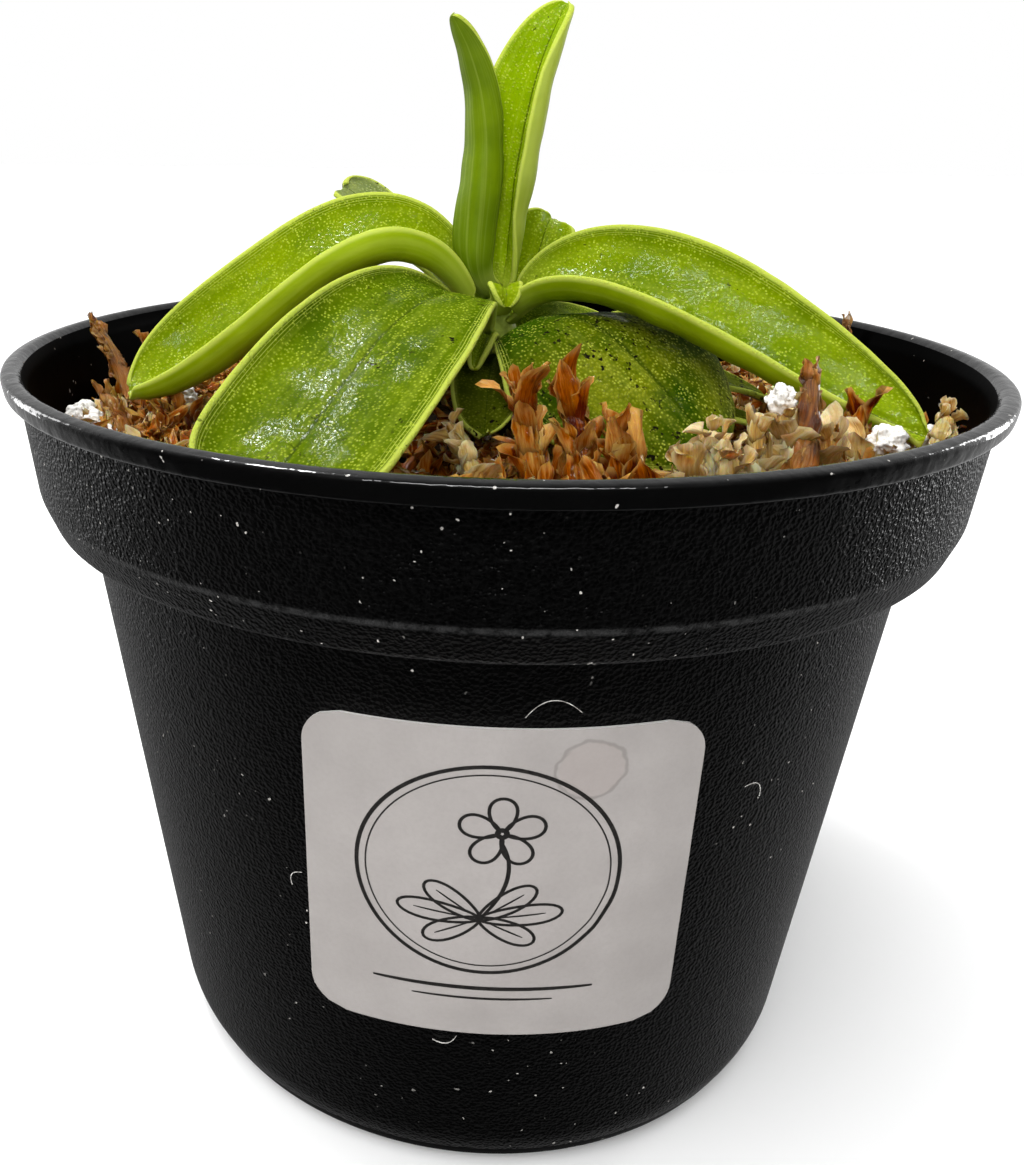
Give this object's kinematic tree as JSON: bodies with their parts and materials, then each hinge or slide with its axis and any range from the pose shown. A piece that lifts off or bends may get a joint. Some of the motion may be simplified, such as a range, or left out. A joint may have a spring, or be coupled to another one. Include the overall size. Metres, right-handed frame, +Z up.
{
  "type": "potted butterwort",
  "caption": "Carnivorous butterwort rosette with broad arching sticky leaves, growing in dried moss and perlite in a round black plastic pot with a square label.",
  "frame": {"origin": "middle of the pot's underside, on the surface that it stands on", "axes": "+Z up along the pot's axis, -Y towards the front with the label, +X to the right seen from the front"},
  "size_m": [0.114, 0.114, 0.1231],
  "materials": {
    "black_plastic": "fine leather grain outside, glossy inside and on the lip",
    "label_paper": "smooth uncoated",
    "dried_moss": "fibrous, damp",
    "perlite": "matte, porous",
    "root_stock": "fleshy",
    "leaf": "wet, sticky gloss with fine glands"
  },
  "bodies": {
    "root": {"pot": "black_plastic", "label": "label_paper", "moss_bed": "dried_moss", "perlite_1": "perlite", "perlite_2": "perlite", "perlite_3": "perlite", "perlite_4": "perlite", "perlite_5": "perlite", "perlite_6": "perlite", "perlite_7": "perlite", "perlite_8": "perlite", "perlite_9": "perlite", "crown": "root_stock", "leaf_upright_front": "leaf", "leaf_upright_back": "leaf", "leaf_curled_small": "leaf", "leaf_small_right_back": "leaf", "leaf_small_left_back": "leaf", "leaf_long_left": "leaf", "leaf_long_right": "leaf", "leaf_broad_front_left": "leaf", "leaf_broad_front_right": "leaf", "leaf_narrow_front": "leaf", "leaf_low_front": "leaf", "leaf_low_right": "leaf", "leaf_low_right_inner": "leaf", "leaf_back": "leaf", "leaf_back_right": "leaf", "leaf_back_left": "leaf"}
  },
  "joints": []
}
